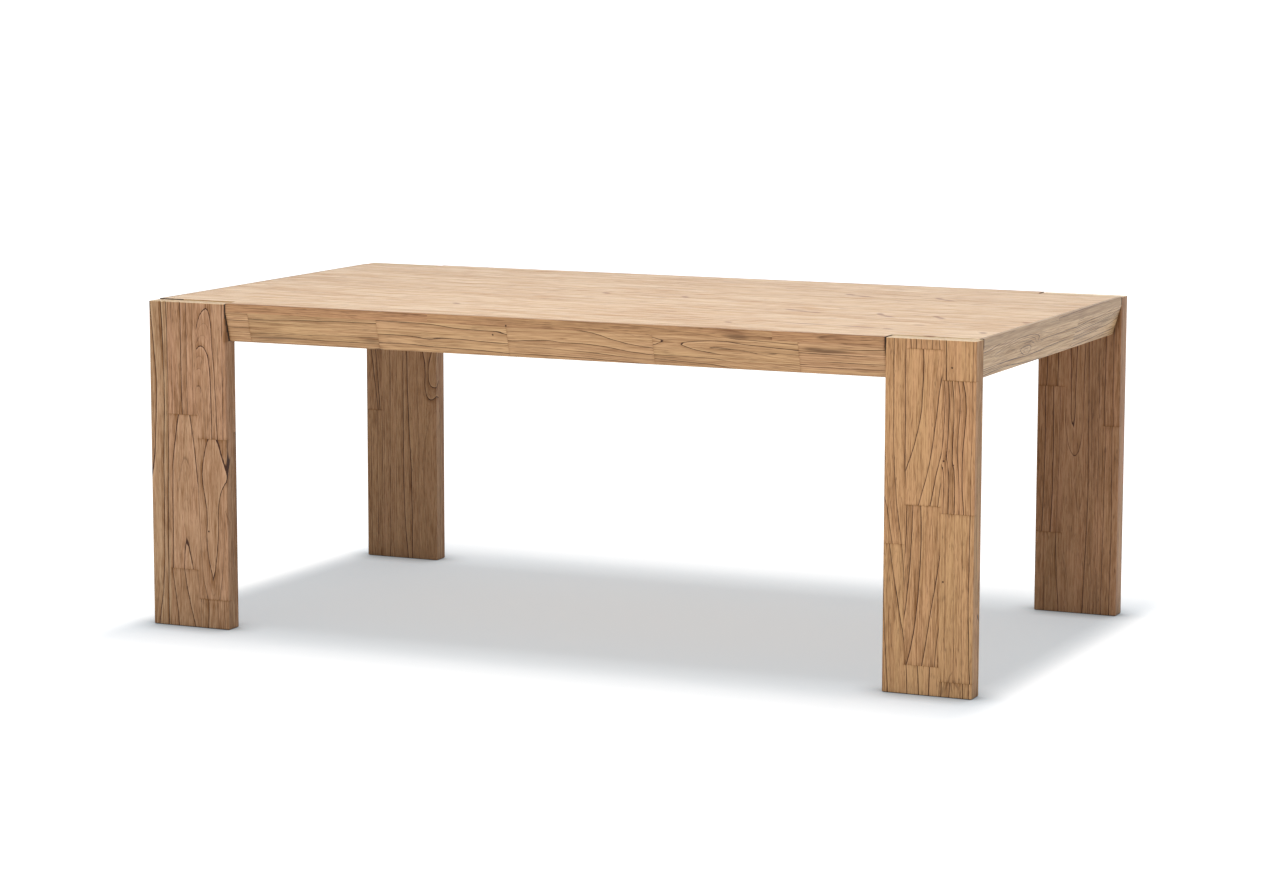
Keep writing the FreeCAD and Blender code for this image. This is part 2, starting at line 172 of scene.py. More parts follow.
    # The lines, the open pores and the marks are all the same dark brown.
    open_pores = add("MapRange", {0: noise["pore"], 1: 0.6, 2: 0.74, 3: 0.0, 4: 0.55 * streak})
    deep = add("Math", {
        0: line_depth, 1: line, 2: open_pores}, operation="MULTIPLY_ADD", use_clamp=True)
    for middle, half_sizes, depth, *turn in marks:
        local = add("Mapping", {
            "Vector": spot, "Location": [p / 1000 for p in middle],
            "Scale": [s / 1000 for s in half_sizes],
            "Rotation": [math.radians(angle) for angle in turn or (0, 0, 0)]},
            vector_type="TEXTURE")
        far = add("VectorMath", {0: local}, operation="LENGTH").outputs["Value"]
        mark = add("MapRange", {0: far, 1: 0.4, 2: 1.0, 3: depth, 4: 0.0})
        deep = add("Math", {0: deep, 1: mark}, operation="MAXIMUM")

    hue_shift = add("MapRange", {0: noise["hue"], 1: 0.35, 2: 0.65, 3: -0.14, 4: 0.14})
    lean = add("Math", {0: warmth, 1: -0.5, 2: 0.5}, operation="MULTIPLY_ADD")
    lean = add("Math", {0: lean, 1: hue_shift}, use_clamp=True)
    early = add("Mix", {0: lean, 6: linear(pale), 7: linear(olive)}, data_type="RGBA").outputs[2]
    wood = add("Mix", {0: dark, 6: early, 7: linear(late)}, data_type="RGBA").outputs[2]
    wood = add("Mix", {0: deep, 6: wood, 7: linear(pore)}, data_type="RGBA").outputs[2]

    height = add("Math", {0: noise["fibre"], 1: deep}, operation="SUBTRACT")
    brushed = add("Bump", {"Height": height, "Strength": 0.3, "Distance": 0.0005})
    rough = add("Math", {0: dark, 1: 0.15, 2: gloss}, operation="MULTIPLY_ADD")
    surface = add("BsdfPrincipled", {
        "Base Color": wood, "Roughness": rough, "IOR": 1.5, "Specular IOR Level": shine,
        "Normal": brushed})
    add("OutputMaterial", {"Surface": surface})
    return material


def block(name, low, high):
    """A block of wood between two opposite corners, in millimetres, ready to be shaped."""
    bpy.ops.object.select_all(action="DESELECT")
    centre = [(a + b) / 2000 for a, b in zip(low, high)]
    size = [(b - a) / 1000 for a, b in zip(low, high)]
    bpy.ops.mesh.primitive_cube_add(size=1, location=centre, scale=size)
    piece = bpy.context.object
    piece.name = piece.data.name = name
    bpy.ops.object.transform_apply(location=True, rotation=True, scale=True)
    return piece


def pick(piece, kind, chosen):
    """Goes to edit mode with those parts selected whose middle, in millimetres, is chosen."""
    bpy.ops.object.mode_set(mode="EDIT")
    bpy.ops.mesh.select_mode(type={"vertices": "VERT", "polygons": "FACE"}[kind])
    bpy.ops.mesh.select_all(action="DESELECT")
    bpy.ops.object.mode_set(mode="OBJECT")
    corners = piece.data.vertices
    for part in getattr(piece.data, kind):
        places = [part.co] if kind == "vertices" else [corners[i].co for i in part.vertices]
        part.select = bool(chosen(sum(places, Vector()) / len(places) * 1000))
    bpy.ops.object.mode_set(mode="EDIT")


def ease_edges(piece, widths):
    """Rounds edges. widths is a list of (millimetres, test on an edge's middle)."""
    mesh = piece.data
    weights = mesh.attributes.new("bevel_weight_edge", "FLOAT", "EDGE")
    largest = max(width for width, _ in widths)
    for edge in mesh.edges:
        middle = sum((mesh.vertices[i].co for i in edge.vertices), Vector()) * 500
        for width, chosen in widths:
            if chosen(middle):
                weights.data[edge.index].value = width / largest
                break
    bevel = piece.modifiers.new("eased edges", "BEVEL")
    bevel.limit_method = "WEIGHT"
    bevel.width = largest / 1000
    bevel.segments = 3
    bpy.ops.object.modifier_apply(modifier=bevel.name)


def saw(piece, axis, places):
    """Cuts the surface across an axis at each place, in millimetres, and keeps every part."""
    normal = [0, 0, 0]
    normal["xyz".index(axis)] = 1
    bpy.ops.object.mode_set(mode="EDIT")
    bpy.ops.mesh.select_mode(type="FACE")
    for place in places:
        bpy.ops.mesh.select_all(action="SELECT")
        bpy.ops.mesh.bisect(plane_co=[n * place / 1000 for n in normal], plane_no=normal)
    bpy.ops.object.mode_set(mode="OBJECT")


def off_line(across, along, points):
    """Distance of each place from a bent line through the points, in millimetres."""
    nearest = np.full(len(across), np.inf)
    for (u0, a0), (u1, a1) in zip(points, points[1:]):
        run, rise = u1 - u0, a1 - a0
        share = ((across - u0) * run + (along - a0) * rise) / (run * run + rise * rise)
        share = np.clip(share, 0, 1)
        gap = np.hypot(across - u0 - share * run, along - a0 - share * rise)
        nearest = np.minimum(nearest, gap)
    return nearest


def rule_grain(piece, place, stave_of, stains_and_shade=(), tone_and_painted_shade=0.0):
    """Writes the wood's attributes on every face corner of a piece.

    place turns a corner in millimetres into (across, depth, along) the grain. stave_of gives the
    stave at such a place as (number, tone, warmth, (ring count, ring strength)). A stain or a band
    of painted shade is (darkness, half its width, points of its middle line).
    """
    mesh = piece.data

    def read(parts, name, kind=float):
        values = np.empty(len(parts) * (3 if kind is float else 1), kind)
        parts.foreach_get(name, values)
        return values.reshape(-1, 3) if kind is float else values

    corners = read(mesh.vertices, "co") * 1000
    of_loop = read(mesh.loops, "vertex_index", int)
    totals = read(mesh.polygons, "loop_total", int)
    centres = read(mesh.polygons, "center") * 1000
    just_under = 0.05
    inside = np.stack(place(*(centres - just_under * read(mesh.polygons, "normal")).T), -1)
    facing = np.stack(place(*centres.T), -1) - inside
    facing = np.repeat(facing / np.linalg.norm(facing, axis=1)[:, None], totals, axis=0)
    staves = [stave_of(*spot) for spot in inside]
    numbers = np.repeat([stave[0] for stave in staves], totals)
    grain = np.stack(place(*corners[of_loop].T), -1)
    rings = np.zeros((len(of_loop), 3))
    shade = np.zeros((len(of_loop), 3))
    step, finest, coarsest = 0.5, 3, 70
    for number, tone, warmth, (field, strength) in {stave[0]: stave for stave in staves}.values():
        here = numbers == number
        at = grain[here]
        count = field(*at.T)
        slope = np.stack([field(*(at + shift).T) - field(*(at - shift).T)
                          for shift in np.eye(3) * step], -1) / (2 * step)
        slope -= (slope * facing[here]).sum(1)[:, None] * facing[here]
        steepness = np.maximum(np.linalg.norm(slope, axis=1), 1e-3)
        spacing = np.clip(1 / steepness, finest, coarsest)
        rings[here] = np.stack([count, spacing, strength(count, *at.T)], -1)
        shade[here, 0], shade[here, 1] = tone + tone_and_painted_shade, warmth
        shade[here, 2] = abs(facing[here, 2])
    for darkness, half, points in stains_and_shade:
        gap = off_line(grain[:, 0], grain[:, 2], points)
        on_the_face = grain[:, 1] < stock_thickness / laminations
        shade[:, 0] -= darkness * np.exp(-(gap / half) ** 2) * on_the_face
    # Each stave takes its own part of the noise.
    grain += 97.0 * (numbers % 89)[:, None]
    for name, values in (("grain", grain), ("rings", rings), ("shade", shade)):
        layer = mesh.attributes.new(name, "FLOAT_VECTOR", "CORNER")
        layer.data.foreach_set("vector", values.astype(np.float32).ravel())


def finish_piece(piece, node, slot_name, main, *others):
    """Dresses a piece and puts it in its CAD node's place. others are (material, face test)."""
    piece.data.materials.clear()
    piece.data.materials.append(main)
    for index, (material, chosen) in enumerate(others, 1):
        piece.data.materials.append(material)
        for face in piece.data.polygons:
            if chosen(face.center * 1000, face.normal):
                face.material_index = index
    bpy.ops.object.select_all(action="DESELECT")
    piece.select_set(True)
    bpy.context.view_layer.objects.active = piece
    bpy.ops.object.shade_smooth_by_angle(angle=math.radians(30))
    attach(piece, "root")
    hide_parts(node)


def drawn_rings(lines):
    """Rings that pass through lines drawn on a stave's face, as (ring, strength, points).

    A thin plate is bent through the points, and its height at any place is the ring count there.
    Away from the lines the rings fade.
    """
    slant, stretch = 0.8, 6.0  # rings' sideways run with depth, and the length of bends to width
    parts, slack = 4, 0.5
    known = {}
    for ring, strength, points in lines:
        for (u0, a0), (u1, a1) in zip(points, points[1:]):
            for part in range(parts):
                share = part / parts
                known[u0 + (u1 - u0) * share, a0 + (a1 - a0) * share] = ring, strength
        known[points[-1]] = ring, strength
    spots = np.array([(u, a / stretch) for u, a in known])
    heights, strengths = np.array(list(known.values()), float).T
    size = len(spots)

    def swell(first, second):
        gap = np.hypot(*np.moveaxis(first[:, None] - second[None], 2, 0))
        return gap ** 2 * np.log(np.maximum(gap, 1e-9))

    system = np.zeros((size + 3, size + 3))
    system[:size, :size] = swell(spots, spots) + slack * np.eye(size)
    system[:size, size:] = np.column_stack([np.ones(size), spots])
    system[size:, :size] = system[:size, size:].T
    weights = np.linalg.solve(system, np.append(heights, np.zeros(3)))

    def field(across, depth, along):
        here = np.column_stack([across + slant * depth, along / stretch])
        plane = np.column_stack([np.ones(len(here)), here])
        return swell(here, spots) @ weights[:size] + plane @ weights[size:]

    def strength_at(count, across, depth, along):
        """Full up to about 7 mm from a line of the same ring, and faint past 19 mm."""
        gap = np.hypot((across + slant * depth)[:, None] - spots[None, :, 0],
                       along[:, None] / 3 - spots[None, :, 1] * stretch / 3)
        same = abs(np.round(count)[:, None] - heights[None, :]) < 0.1
        reach = np.clip(1.6 - gap / 12, 0, 1) * strengths[None, :] * same
        return np.maximum(reach.max(1), 0.1)

    return field, strength_at


def log_rings(pith, spacing, lean, bow, middle, phase, seed):
    """Rings of a stave sawn from a log, whose pith is at (across, depth) from the stave."""
    def field(across, depth, along):
        off = (along - middle) / 100
        side = across - pith[0] - lean * off - bow * off * off
        return np.hypot(side, depth + pith[1] + 0.6 * bow * off * off) / spacing + phase

    def strength_at(count, *place):
        chances = [random.Random(seed * 7919 + int(n)).random() for n in np.round(count)]
        return 0.1 + 0.8 * np.array(chances) ** 2
    return field, strength_at


def random_staves(seed, columns, deep, lengths, first_number, contrast=0.05, middle=0.0):
    """Staves of random length in columns and laminations, as a lookup of stave by place.

    columns are the joints across the face, and deep is the number of laminations.
    """
    rows = random.Random(seed)
    table = {}
    for lamination in range(deep):
        for column in range(len(columns) + 1):
            joints, at = [], rows.uniform(-lengths[1], 0)
            while at < 3000:
                at += rows.uniform(*lengths)
                joints.append(at)
            table[lamination, column] = joints
    made = {}

    def stave_of(across, depth, along):
        lamination = min(deep - 1, max(0, int(depth / stock_thickness * deep)))
        column = int(sum(across > c for c in columns))
        joint = int(sum(along > j for j in table[lamination, column]))
        key = lamination, column, joint
        if key not in made:
            r = random.Random(seed * 1000 + lamination * 100 + column * 10 + joint)
            number = first_number + len(made)
            made[key] = (
                number, middle + r.uniform(-contrast, contrast), r.uniform(-0.7, 0.7),
                log_rings((across + r.uniform(-60, 60), r.uniform(10, 90)), r.uniform(12, 24),
                          r.uniform(-3, 3), r.uniform(-1.0, 1.0), along, r.random(), number))
        return made[key]
    return stave_of


def drawn_staves(rows, rest, first_number):
    """Staves of a face whose rings are drawn. rest looks up the laminations behind them."""
    made = [(left, right, foot, head, (first_number + i, tone, warmth, drawn_rings(lines)))
            for i, (left, right, foot, head, tone, warmth, lines) in enumerate(rows)]

    def stave_of(across, depth, along):
        if depth < stock_thickness / laminations:
            for left, right, foot, head, stave in made:
                if left <= across <= right and foot <= along <= head:
                    return stave
        return rest(across, depth, along)
    return stave_of


# Brushed hardwood under matt lacquer: soft early wood is worn back, so that fine dark streaks and
# brown ring edges stand out of a pale tan ground.
# The end aprons are the long aprons' wood coloured paler and greyer: partly painted light, for the
# right end's face, which takes more light than the front.
end_apron_timber_with_painted_light = timber(
    "stave_wood_of_the_ends_with_painted_light", "#BA9873", "#B59970", "#7A5630", "#462E1E",
    line=2.4, streak=1.25, reach=2.5, cloudy=0.3, banded=0.4, shine=0.35)
# Painted shade: the faces in the shadow gaps are coloured near black, so that a gap reads as a
# black line.
gap_painted_shade, add = empty_material("painted_gap_shade")
spot = add("TexCoord").outputs["Object"]
speckle = add("TexNoise", {"Vector": spot, "Scale": 900.0, "Detail": 2.0}).outputs[0]
gap_shade_colour = add("Mix", {0: speckle, 6: linear("#2E2118"), 7: linear("#4C3826")}, data_type="RGBA")
sawn = add("Bump", {"Height": speckle, "Strength": 0.3, "Distance": 0.0003})
surface = add("BsdfPrincipled", {
    "Base Color": gap_shade_colour.outputs[2], "Roughness": 0.7, "Normal": sawn})
add("OutputMaterial", {"Surface": surface})

# A row is a stave: left, right, foot, head, tone, warmth and its rings. A ring is its number, its
# strength and points drawn as (across, along), in millimetres from the lower edge and the left end.
right_end_staves = [
    (0, 72, 0, 655, 0, 0, [
        (1, 0.6, [(5, 60), (8, 100), (9, 140), (11, 200), (7, 270), (4, 325), (2, 400)]),
        (2, 0.5, [(20, 60), (22, 200), (20, 330), (22, 420), (25, 465), (27, 515), (28, 560)]),
        (3, 1, [(38, 268), (42, 276), (43, 290), (44, 310), (43, 325), (38, 338), (30, 338),
            (24, 325), (24, 305), (28, 290), (34, 276), (38, 268)]),
        (4.2, 0, [(34, 294), (34, 320)]),
        (2.3, 0, [(40, 235), (46, 250), (52, 290), (52, 330), (42, 370)]),
        (4, 0.6, [(61, 20), (62, 45), (67, 75), (70, 100)]),
        (3, 0.3, [(48, 380), (50, 440), (50, 500), (51, 560), (52, 655)])]),
    (0, 72, 655, 980, 0.11, 0.2, [
        (1, 0.55, [(5, 670), (6, 700), (8, 750), (10, 800), (11, 830), (14, 900), (17, 960)]),
        (2, 0.6, [(21, 650), (22, 700), (24, 750), (26, 800), (30, 850), (31, 900), (35, 930),
            (40, 960)]), (3, 0.3, [(28, 650), (29, 700), (32, 750)]),
        (4, 0.65, [(38, 655), (40, 700), (42, 750), (44, 800), (47, 850), (50, 880), (53, 910),
            (60, 950), (62, 965)]), (5, 0.5, [(52, 655), (55, 700), (59, 755)])]),
]
right_end_stains = [
    (0.12, 6, [(38, 115), (37, 145), (36, 180)]), (0.3, 1.8, [(38, 232), (36, 250)]),
    (0.25, 1.8, [(40, 395), (40, 412)]), (0.2, 1.8, [(50, 435), (50, 445)]),
    (0.12, 4, [(8, 730), (9, 800)]), (0.08, 14, [(20, 940), (40, 975)])]


def up_the_face(z, from_edge):
    """How far up an apron's leaning face a place lies, and how deep behind it."""
    rise = (z - apron_under) / (panel_under - apron_under)
    return rise * apron_face_height, from_edge - apron_undercut * (1 - rise)


def gap_shade_at_ends(half):
    """Painted shade at both ends of a board's face: a dark band beside each shadow gap."""
    over_the_face = 72
    return [(0.6, gap_shade_width, [(0, end), (over_the_face, end)]) for end in (0, 2 * half)]


def edge_board(name, across, side, thickness, half, low_z, high_z):
    """A board along an edge of the table: across is 0 at the ends and 1 on the long sides."""
    outer = side * (half_length, half_width)[across]
    low, high = [-half, -half, low_z], [half, half, high_z]
    low[across], high[across] = sorted((outer, outer - side * thickness))
    return outer, block("brushed_" + name, low, high)


def steps(half, pitch):
    """Even places for cuts along a board, from one end to the other and 3 mm clear of both."""
    return range(pitch * math.ceil((3 - half) / pitch), int(half) - 3, pitch)


def saw_board(board, along, half, low_z, high_z, joints=()):
    """Cuts a board finely enough for its dark patches, painted shade and stave joints to show."""
    saw(board, "xy"[along],
        [gap_shade_width - half, *steps(half, saw_pitch), half - gap_shade_width, *joints])
    saw(board, "z", range(low_z + fine_pitch, high_z, fine_pitch))


def apron(name, across, side, half, joints, material, seed, first_number, drawn=(), stains_and_shade=()):
    """A board whose outer face leans in, with staves drawn on it or else laid at random."""
    along = 1 - across
    outer, board = edge_board(name, across, side, stock_thickness, half, apron_under, panel_under)
    pick(board, "vertices", lambda at: abs(at[across] - outer) < 1 and abs(at.z - apron_under) < 1)
    lean = [0, 0, 0]
    lean[across] = -side * apron_undercut / 1000
    bpy.ops.transform.translate(value=lean)
    bpy.ops.object.mode_set(mode="OBJECT")
    lower = outer - side * apron_undercut
    ease_edges(board, [(apron_arris, lambda at: (
        abs(at.z - apron_under) < 1 and abs(at[across] - lower) < 1))])
    saw_board(board, along, half, apron_under, panel_under, joints)
    hidden = random_staves(seed, [], laminations, (300, 400), first_number)
    rule_grain(
        board, lambda *at: (*up_the_face(at[2], side * (outer - at[across])), at[along] + half),
        drawn_staves(drawn, hidden, first_number + 20), [*stains_and_shade, *gap_shade_at_ends(half)])
    # The board's ends, in the shadow gaps, are painted shade.
    finish_piece(board, name, "apron_wood", material,
                 (gap_painted_shade, lambda at, normal: abs(normal[along]) > end_on))


end_cuts = [right_end_staves[1][2] - end_apron_half]
apron("right_end_apron", 0, 1, end_apron_half, end_cuts, end_apron_timber_with_painted_light, 31, 100,
      right_end_staves, right_end_stains)
apron("left_end_apron", 0, -1, end_apron_half, end_cuts, end_apron_timber_with_painted_light, 32, 140)

# ---- Leg rails ----------------------------------------------------------------------------------
# Two planed boards of the same wood, left unfinished, that run from end apron to end apron and are
# tenoned into both. The legs are bolted to them and the long aprons screwed to them.

# Planed and bare, so it is paler and duller than the lacquered wood, with plain straight rings.
frame_wood = {
    along: timber("planed_unfinished_wood_" + along, "#CDAE88", "#C7AC80", "#9A7850", "#6A4C34",
                  line=0.6, streak=0.7, gloss=0.6, run=run)
    for along, run in (("lengthwise", (0, -math.pi / 2, 0)), ("crosswise", (math.pi / 2, 0, 0)),
                       ("upright", (0, 0, 0)))}


def dress(material, *names):
    """Gives CAD nodes, which keep their shape, a better material."""
    for name in names:
        for material_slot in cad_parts[name].material_slots:
            material_slot.material = material


dress(frame_wood["lengthwise"], "front_leg_rail", "back_leg_rail")

# ---- Bearers ------------------------------------------------------------------------------------
# Three planed boards across the table under the top, tenoned between the two rails. They keep the
# top flat, and it is screwed down to them.

dress(frame_wood["crosswise"], "left_bearer", "centre_bearer", "right_bearer")

# ---- Long aprons --------------------------------------------------------------------------------
# The same boards as the end aprons, but between the legs of a long side: six staves, end to end.
# They are screwed to the rails from inside, and a shadow gap parts them from the legs.

leg_width = 200
long_apron_half = half_length - leg_width - leg_reveal
pinhole = (3, 3, 3), 1.0
long_apron_timber = timber(
    "brushed_stave_wood_of_the_long_sides", "#BC936F", "#B69569", "#6E4726", "#3E271A",
    line=1.15, streak=0.85, reach=1.8, cloudy=0.2, banded=0.35, marks=[
        ((-120.5, -529, 715), *pinhole), ((668, -527, 717), (66, 20, 6), 0.6),
        ((640, -527, 720), (40, 20, 4), 0.6), ((-665, -527, 681), (90, 20, 6), 0.5),
        ((-700, -527, 673), (60, 20, 4), 0.5), ((-428, -527, 684), (36, 20, 8), 0.45),
        ((-412, -522, 667), (16, 20, 3), 0.9)])
front_apron_staves = [
    (0, 72, 0, 57, 0, 0.2, [
        (1, 0.5, [(36, 0), (36, 57)]), (2, 0.5, [(53, 0), (53, 57)])]),
    (0, 72, 57, 388, -0.01, -0.1, [
        (0, 0.3, [(3, 57), (3, 388)]), (1, 0.4, [(14, 57), (15, 180), (13, 388)]),
        (2, 0.35, [(23, 57), (25, 120), (25, 200), (27, 300), (28, 388)]),
        (3, 0.2, [(52, 57), (51, 120)]),
        (4, 0.9, [(58, 57), (57, 100), (60, 150), (61, 200), (61, 260), (63, 300), (63, 388)])]),
    (0, 72, 388, 712, 0.03, 0, [
        (1, 0.6, [(17, 400), (17, 470), (14, 520), (12, 600), (11, 650), (7, 712)]),
        (2, 0.75, [(38, 388), (38, 450), (36, 490), (31, 515), (36, 540), (36, 600), (33, 640),
            (31, 712)]),
        (3, 0.8, [(70, 388), (69, 500), (68, 525), (64, 560), (60, 600), (59, 650), (59, 690),
            (52, 712)])]),
    (0, 72, 712, 1062, 0.03, 0.2, [
        (1, 0.5, [(8, 712), (8, 800), (7, 900), (3, 1000)]),
        (2, 0.35, [(24, 740), (25, 800), (21, 900), (18, 950), (13, 1000), (12, 1062)]),
        (3, 0.7, [(38, 725), (44, 800), (44, 820), (40, 840), (40, 900), (36, 950), (28, 1000),
            (23, 1062)]),
        (4, 0.7, [(68, 915), (62, 940), (55, 960), (46, 1000), (43, 1020), (40, 1050)])]),
    (0, 72, 1062, 1400, 0.01, -0.1, [
        (3, 0.75, [(63, 1065), (57, 1090), (47, 1065)]),
        (3, 0.75, [(50, 1400), (53, 1350), (57, 1280), (62, 1240), (62, 1195), (58, 1150),
            (52, 1125), (46, 1140), (40, 1160), (38, 1175)]), (2.6, 0, [(52, 1104), (52, 1110)]),
        (4, 0.3, [(46, 1195), (43, 1290), (40, 1400)]),
        (2, 0.5, [(69, 1260), (66, 1340), (63, 1400)]), (2, 0.4, [(24, 1065), (22, 1195)]),
        (1, 0.5, [(14, 1065), (8, 1195)])]),
    (0, 72, 1400, 1595, 0, 0.4, [
        (1, 0.4, [(15, 1450), (15, 1560)]), (2, 0.5, [(27, 1500), (27, 1560)]),
        (3, 0.5, [(46, 1415), (45, 1530)]), (4, 0.5, [(58, 1530), (62, 1592)])]),
]
front_apron_stains = [
    (0.12, 12, [(35, 55), (35, 130)]), (0.15, 8, [(27, 345), (27, 380)]),
    (0.3, 2, [(6, 375), (6, 395)]), (0.3, 2, [(49, 840), (49, 855)]),
    (0.22, 4, [(54, 1418), (54, 1528)])]


def round_joints(places):
    """Cuts at each joint and a little to both sides, so that the glue line has a sharp edge."""
    beside = 1.2
    return [place + shift for place in places for shift in (-beside, 0, beside)]


front_joints = [row[2] for row in front_apron_staves[1:]]
front_apron_stains += [(0.25, glue_line, [(1, joint), (70, joint)]) for joint in front_joints]
long_cuts = round_joints(joint - long_apron_half for joint in front_joints)
apron("front_apron", 1, -1, long_apron_half, long_cuts, long_apron_timber, 41, 200,
      front_apron_staves, front_apron_stains)
apron("back_apron", 1, 1, long_apron_half, long_cuts, long_apron_timber, 42, 240)

# ---- Corner blocks ------------------------------------------------------------------------------
# Four short upright lengths of the same planed wood, screwed into the inner corners between the
# rails and the end aprons.

dress(frame_wood["upright"], "corner_block_front_left", "corner_block_front_right",
      "corner_block_back_left", "corner_block_back_right")

# ---- Legs ---------------------------------------------------------------------------------------
# Upright slabs, 200 mm wide along the table, of three laminations of edge-glued staves. Each stands
# in a notch in a corner of the top, and its end grain shows just under the top's upper face.

leg_back = half_width - stock_thickness
leg_arris = 1
foot_arris = 1.5
glide_below_foot = 1
leg_top = 754
# Each leg has colours of its own, and the back ones are darker, partly as painted shade. The front
# left one is cooler and darker than the front right one, and the back right one redder. Their
# lacquer is duller than the top's.
leg_marks = [(pin, *pinhole) for pin in (
    (947, -535, 697), (931, -535, 501), (952, -535, 493), (933, -535, 246), (-850, -535, 227))]
# The swirl of a knot at the foot of the front right leg, and a nick in its narrow side.
leg_marks += [
    ((946, -535, 30), (3, 3, 24), 0.4, 0, 20, 0), ((955, -535, 22), (2.5, 3, 18), 0.4, 0, -12, 0),
    ((936, -535, 16), (3, 3, 16), 0.4, 0, 8, 0), ((964, -535, 30), (3, 3, 15), 0.35, 0, -35, 0),
    ((975, -535, 12), (2.5, 3, 12), 0.4, 0, 10, 0), ((952, -535, 48), (2, 3, 14), 0.35, 0, 30, 0),
    ((1000, -502, 170), (3, 4, 13), 1.0, 30, 0, 0)]
leg_timbers = {
    name: timber("brushed_stave_wood_of_" + name, pale, olive, "#704B2A", "#3E261B", line=line,
                 gloss=0.5, shine=0.15, marks=leg_marks)
    for name, pale, olive, line in (
        ("leg_front_left", "#B0876A", "#A78969", 1.15),
        ("leg_front_right", "#B58964", "#B18D62", 1.0),
        ("leg_back_left", "#A98263", "#A78662", 1.05),
        ("leg_back_right", "#A77C5F", "#A4815F", 1.0))}

# Painted highlight: a leg's upward faces, the end grain on top and the rounded edge round it, are
# coloured paler than its other faces.
leg_top_highlight_timber = timber(
    "painted_highlight_on_leg_tops", "#DCC3A2", "#D8C29C", "#A5835C", "#6A4A34", line=0.3, streak=0.5)

front_left_staves = [
    (0, 47, 0, 760, 0.02, -0.7, [
        (1, 1.3, [(2, 740), (8, 680), (14, 610), (17, 565), (15, 510), (12, 450), (9, 395),
            (3, 362), (-3, 335)]),
        (2, 1.5, [(31, 755), (33, 700), (36, 620), (37, 560), (37, 500), (34, 430), (33, 370),
            (33, 300), (32, 220), (31, 150), (27, 80), (20, 40), (15, 0)]),
        (3, 1.1, [(44, 755), (46, 680), (47, 600), (48, 500), (46, 380), (43, 300), (42, 150),
            (40, 0)])]),
    (47, 124, 494, 760, -0.04, 0.5, [
        (1, 0.25, [(58, 755), (58, 494)]), (2, 1, [(82, 755), (83, 650), (83.5, 550), (85, 494)]),
        (3, 0.35, [(98, 755), (98, 494)]), (4, 0.25, [(113, 755), (114, 494)])]),
    (47, 124, 135, 494, 0.07, 0.1, [
        (1, 1, [(74, 494), (70, 470), (65, 435), (60, 402), (57, 380), (56, 330), (56, 270),
            (55, 200), (54, 135)]),
        (1, 1.1, [(103, 494), (107, 470), (112, 440), (116, 405), (120, 370), (123, 335),
            (126, 300), (132, 230), (138, 135)]),
        (2, 0.8, [(84, 135), (85, 165), (87, 190), (91, 204), (96, 190), (101, 165),
            (107, 135)])]),
    (47, 124, 0, 135, -0.08, -0.2, [
        (1, 0.6, [(51, 135), (57, 95), (63, 50), (68, 0)]),
        (2, 0.8, [(84, 135), (90, 95), (100, 50), (113, 0)]),
        (3, 0.2, [(118, 135), (128, 50), (140, 0)])]),
    (124, 200, 441, 760, 0.04, 0.4, [
        (0, 0.4, [(192, 755), (192, 600), (191, 441)]),
        (1, 0.75, [(124, 690), (128, 710), (135, 726), (143, 736), (150, 740), (157, 735),
            (161, 715), (164, 680), (167, 630), (170, 580), (173, 520), (176, 441)]),
        (2, 1, [(124, 646), (131, 654), (138, 655), (147, 648), (154, 632), (158, 605), (160, 560),
            (161, 500), (161, 441)])]),
    (124, 200, 68, 441, -0.02, 0.1, [
        (1, 1, [(152, 441), (147, 425), (141, 405), (137, 385), (135, 360), (137, 330), (142, 305),
            (146, 280), (147, 250), (145, 220), (146, 190), (149, 165), (153, 145), (158, 124),
            (161, 110)]),
        (1, 1, [(173, 441), (180, 425), (186, 405), (192, 385), (199, 368), (203, 358), (199, 346),
            (192, 336), (184, 320), (179, 300), (176, 270), (176, 240), (175, 210), (172, 180),
            (168, 150), (164, 128), (161, 110)]),
        (0, 0.3, [(124, 441), (120, 360), (126, 280), (128, 200), (134, 120), (146, 68)]),
        (0, 0.3, [(176, 68), (184, 120), (190, 200), (192, 280)])]),
    (124, 200, 0, 68, -0.08, -0.2, [
        (0, 0.2, [(128, 68), (127, 0)]), (1, 0.7, [(147, 68), (148, 40), (146, 0)]),
        (2, 0.2, [(172, 68), (174, 0)]), (3, 0.2, [(190, 68), (190, 0)])]),
]

